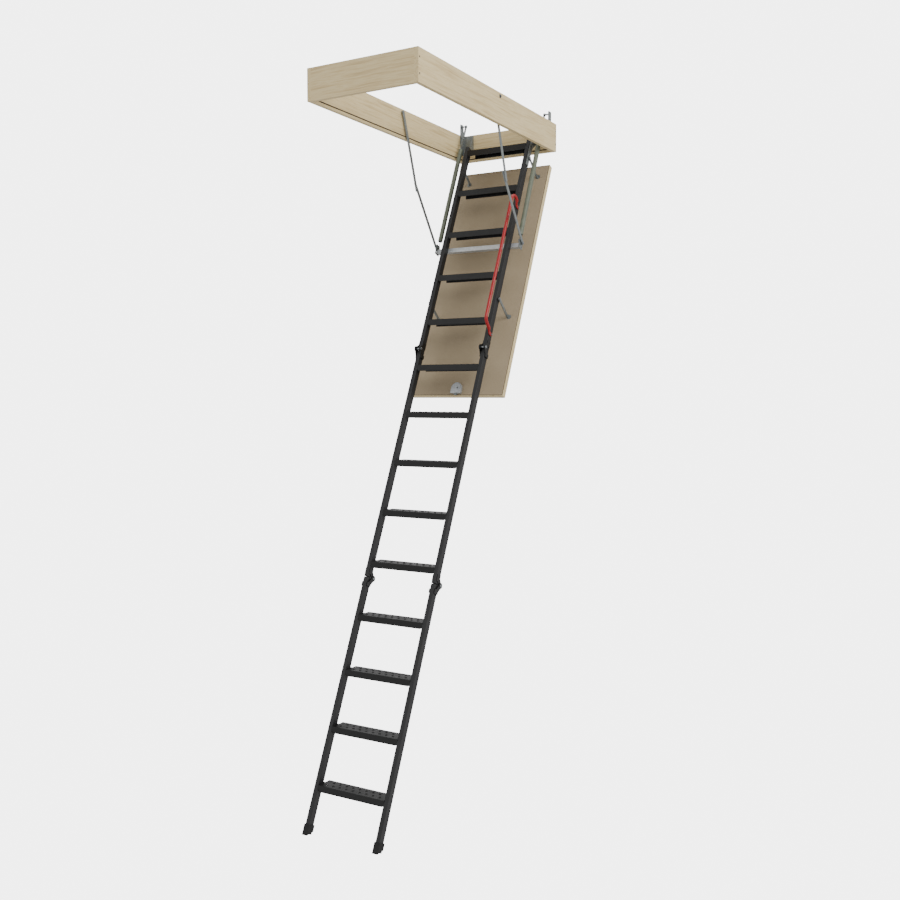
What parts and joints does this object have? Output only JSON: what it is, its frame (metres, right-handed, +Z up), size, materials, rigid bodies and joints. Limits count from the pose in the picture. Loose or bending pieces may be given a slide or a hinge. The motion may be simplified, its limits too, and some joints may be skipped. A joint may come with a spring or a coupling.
{
  "type": "attic ladder",
  "caption": "Folding steel attic ladder hung in a timber casing with an insulated hatch, sprung swing arms, hinged ladder sections, flat perforated treads and a handrail.",
  "frame": {"origin": "centre of the casing opening, at the casing's lower edge (the ceiling plane)", "axes": "+Z up, +Y towards the hinge end of the casing, +X to the climber's right as they face the treads"},
  "size_m": [0.596, 1.6291, 3.5114],
  "materials": {
    "pine": "planed spruce, matt",
    "hatch_board": "board, matt",
    "white_board": "painted white",
    "seal_rubber": "brown foam rubber",
    "foot_rubber": "black rubber, matt",
    "galvanised_steel": "zinc plated",
    "bolt_steel": "zinc plated",
    "spring_sleeve": "grey-green paint",
    "spring_steel": "oiled",
    "dark_powder_coat": "dark grey powder coat",
    "black_powder_coat": "black powder coat",
    "red_powder_coat": "red powder coat"
  },
  "bodies": {
    "casing": {"casing_side_left": "pine", "casing_side_right": "pine", "casing_end_hinge": "pine", "casing_end_lock": "pine", "casing_seal": "seal_rubber", "casing_screws": "bolt_steel", "hinge_brackets": "galvanised_steel", "striker_plate": "galvanised_steel", "hinge_pins": "bolt_steel", "arm_bolts": "bolt_steel", "anchor_pins": "bolt_steel"},
    "ladder_upper": {"stile_upper_left": "dark_powder_coat", "stile_upper_right": "dark_powder_coat", "tread_01": "black_powder_coat", "tread_02": "black_powder_coat", "tread_03": "black_powder_coat", "tread_04": "black_powder_coat", "tread_05": "black_powder_coat", "hinge_plates": "galvanised_steel", "crossbar": "galvanised_steel", "arm_gussets": "galvanised_steel", "arm_foot_pins": "bolt_steel", "handrail": "red_powder_coat", "ladder_bolts": "bolt_steel", "fold_leaf_upper_fixed": "black_powder_coat", "fold_rivets_upper": "bolt_steel"},
    "ladder_middle": {"stile_middle_left": "dark_powder_coat", "stile_middle_right": "dark_powder_coat", "tread_06": "black_powder_coat", "tread_07": "black_powder_coat", "tread_08": "black_powder_coat", "tread_09": "black_powder_coat", "tread_10": "black_powder_coat", "fold_leaf_upper_moving": "black_powder_coat", "fold_leaf_lower_fixed": "black_powder_coat", "fold_rivets_lower": "bolt_steel"},
    "ladder_lower": {"stile_lower_left": "dark_powder_coat", "stile_lower_right": "dark_powder_coat", "tread_11": "black_powder_coat", "tread_12": "black_powder_coat", "tread_13": "black_powder_coat", "tread_14": "black_powder_coat", "fold_leaf_lower_moving": "black_powder_coat", "feet": "foot_rubber"},
    "struts_upper": {"struts_upper": "galvanised_steel"},
    "struts_lower": {"struts_lower": "galvanised_steel"},
    "hatch": {"hatch_core": "hatch_board", "hatch_lining_attic": "hatch_board", "hatch_lining_room": "white_board", "hatch_frame": "pine", "strut_feet": "galvanised_steel", "lock_case": "galvanised_steel"},
    "latch": {"latch_bolt": "galvanised_steel"},
    "arms_upper": {"arms_upper": "galvanised_steel", "knee_rivets": "bolt_steel"},
    "arms_lower": {"arms_lower": "galvanised_steel"},
    "spring_straps": {"spring_straps": "galvanised_steel"},
    "spring_sleeves": {"spring_sleeves": "spring_sleeve", "spring_coils": "spring_steel", "spring_hooks": "bolt_steel"}
  },
  "joints": [
    {"name": "hatch_swing", "type": "hinge", "parent": "casing", "child": "ladder_upper", "pos_m": [0, 0.67, 0.064], "axis": [-1, 0, 0], "range_deg": [0, 58.9]},
    {"name": "section_fold", "type": "hinge", "parent": "ladder_upper", "child": "ladder_middle", "pos_m": [0, 0.06847, -1.0826], "axis": [-1, 0, 0], "range_deg": [0, 180]},
    {"name": "lower_fold", "type": "hinge", "parent": "ladder_middle", "child": "ladder_lower", "pos_m": [0, -0.37826, -2.21597], "axis": [1, 0, 0], "range_deg": [0, 181]},
    {"name": "strut_upper_swing", "type": "hinge", "parent": "ladder_upper", "child": "struts_upper", "pos_m": [0, 0.56349, -0.05189], "axis": [1, 0, 0], "range_deg": [0, 64.1]},
    {"name": "hatch_tilt", "type": "hinge", "parent": "struts_upper", "child": "hatch", "pos_m": [0, 0.65021, -0.13231], "axis": [-1, 0, 0], "range_deg": [0, 64.1]},
    {"name": "strut_lower_swing", "type": "hinge", "parent": "ladder_upper", "child": "struts_lower", "pos_m": [0, 0.21396, -0.83327], "axis": [1, 0, 0], "range_deg": [0, 64.1]},
    {"name": "latch_slide", "type": "slide", "parent": "hatch", "child": "latch", "axis": [0, -0.4083, -0.9128], "range_m": [0, 0.014]},
    {"name": "arm_upper_swing", "type": "hinge", "parent": "casing", "child": "arms_upper", "pos_m": [0, 0.044, 0.131], "axis": [-1, 0, 0], "range_deg": [0, 98.88]},
    {"name": "arm_lower_swing", "type": "hinge", "parent": "ladder_upper", "child": "arms_lower", "pos_m": [0, 0.37386, -0.53288], "axis": [1, 0, 0], "range_deg": [0, 108.63]},
    {"name": "spring_strap_swing", "type": "hinge", "parent": "casing", "child": "spring_straps", "pos_m": [0, 0.672, 0.196], "axis": [-1, 0, 0], "range_deg": [0, 53.6]},
    {"name": "spring_close", "type": "slide", "parent": "spring_straps", "child": "spring_sleeves", "axis": [0, 0.3909, 0.9204], "range_m": [0, 0.09893]}
  ],
  "couplings": [
    {"joint": "lower_fold", "follows": "section_fold", "ratio": 1},
    {"joint": "strut_upper_swing", "follows": "hatch_swing", "ratio": 1.0628},
    {"joint": "hatch_tilt", "follows": "hatch_swing", "ratio": 1.0628},
    {"joint": "strut_lower_swing", "follows": "hatch_swing", "ratio": 1.0628},
    {"joint": "arm_upper_swing", "follows": "hatch_swing", "ratio": 1.6533},
    {"joint": "arm_lower_swing", "follows": "hatch_swing", "ratio": 1.8189},
    {"joint": "spring_strap_swing", "follows": "hatch_swing", "ratio": 0.8845},
    {"joint": "spring_close", "follows": "hatch_swing", "m_per_rad": 0.094293}
  ]
}
